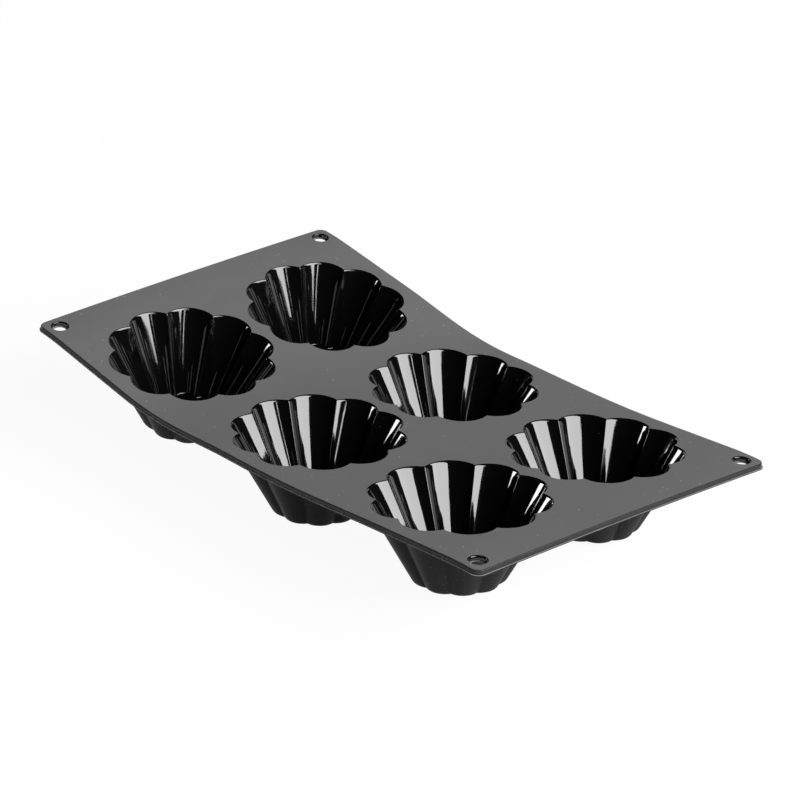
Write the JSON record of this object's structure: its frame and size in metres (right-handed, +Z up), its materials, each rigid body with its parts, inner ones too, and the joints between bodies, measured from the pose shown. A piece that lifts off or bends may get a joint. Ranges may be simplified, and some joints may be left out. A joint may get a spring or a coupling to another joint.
{
  "type": "silicone brioche mould",
  "caption": "Flexible silicone sheet with fluted brioche cups in columns and rows, flexing at the webs between the columns, with a hanging hole in each corner.",
  "frame": {"origin": "under the middle of the whole mould, on the surface that it stands on", "axes": "+X along the sheet from its raised left end to its right end, +Y across the sheet from the front row of cups to the back row, +Z up out of the cups"},
  "size_m": [0.2996, 0.175, 0.0597],
  "materials": {
    "sheet_silicone": "satin",
    "cup_silicone": "gloss"
  },
  "bodies": {
    "middle_section": {"middle_panel": "sheet_silicone", "left_web": "sheet_silicone", "right_web": "sheet_silicone", "middle_front_cup": "cup_silicone", "middle_back_cup": "cup_silicone"},
    "left_section": {"left_panel": "sheet_silicone", "left_front_cup": "cup_silicone", "left_back_cup": "cup_silicone"},
    "right_section": {"right_panel": "sheet_silicone", "right_front_cup": "cup_silicone", "right_back_cup": "cup_silicone"}
  },
  "joints": [
    {"name": "left_flex", "type": "hinge", "parent": "middle_section", "child": "left_section", "pos_m": [-0.04582, 0.00001, 0.03625], "axis": [0, 1, 0], "range_deg": [-55.8, 79.2], "stiffness_Nm_per_rad": 0.12, "springref_deg": 13.06, "deforming": ["left_web"]},
    {"name": "right_flex", "type": "hinge", "parent": "middle_section", "child": "right_section", "pos_m": [0.04518, 0.00001, 0.03625], "axis": [0, -1, 0], "range_deg": [-49.1, 85.9], "stiffness_Nm_per_rad": 0.12, "springref_deg": 13.01, "deforming": ["right_web"]}
  ]
}
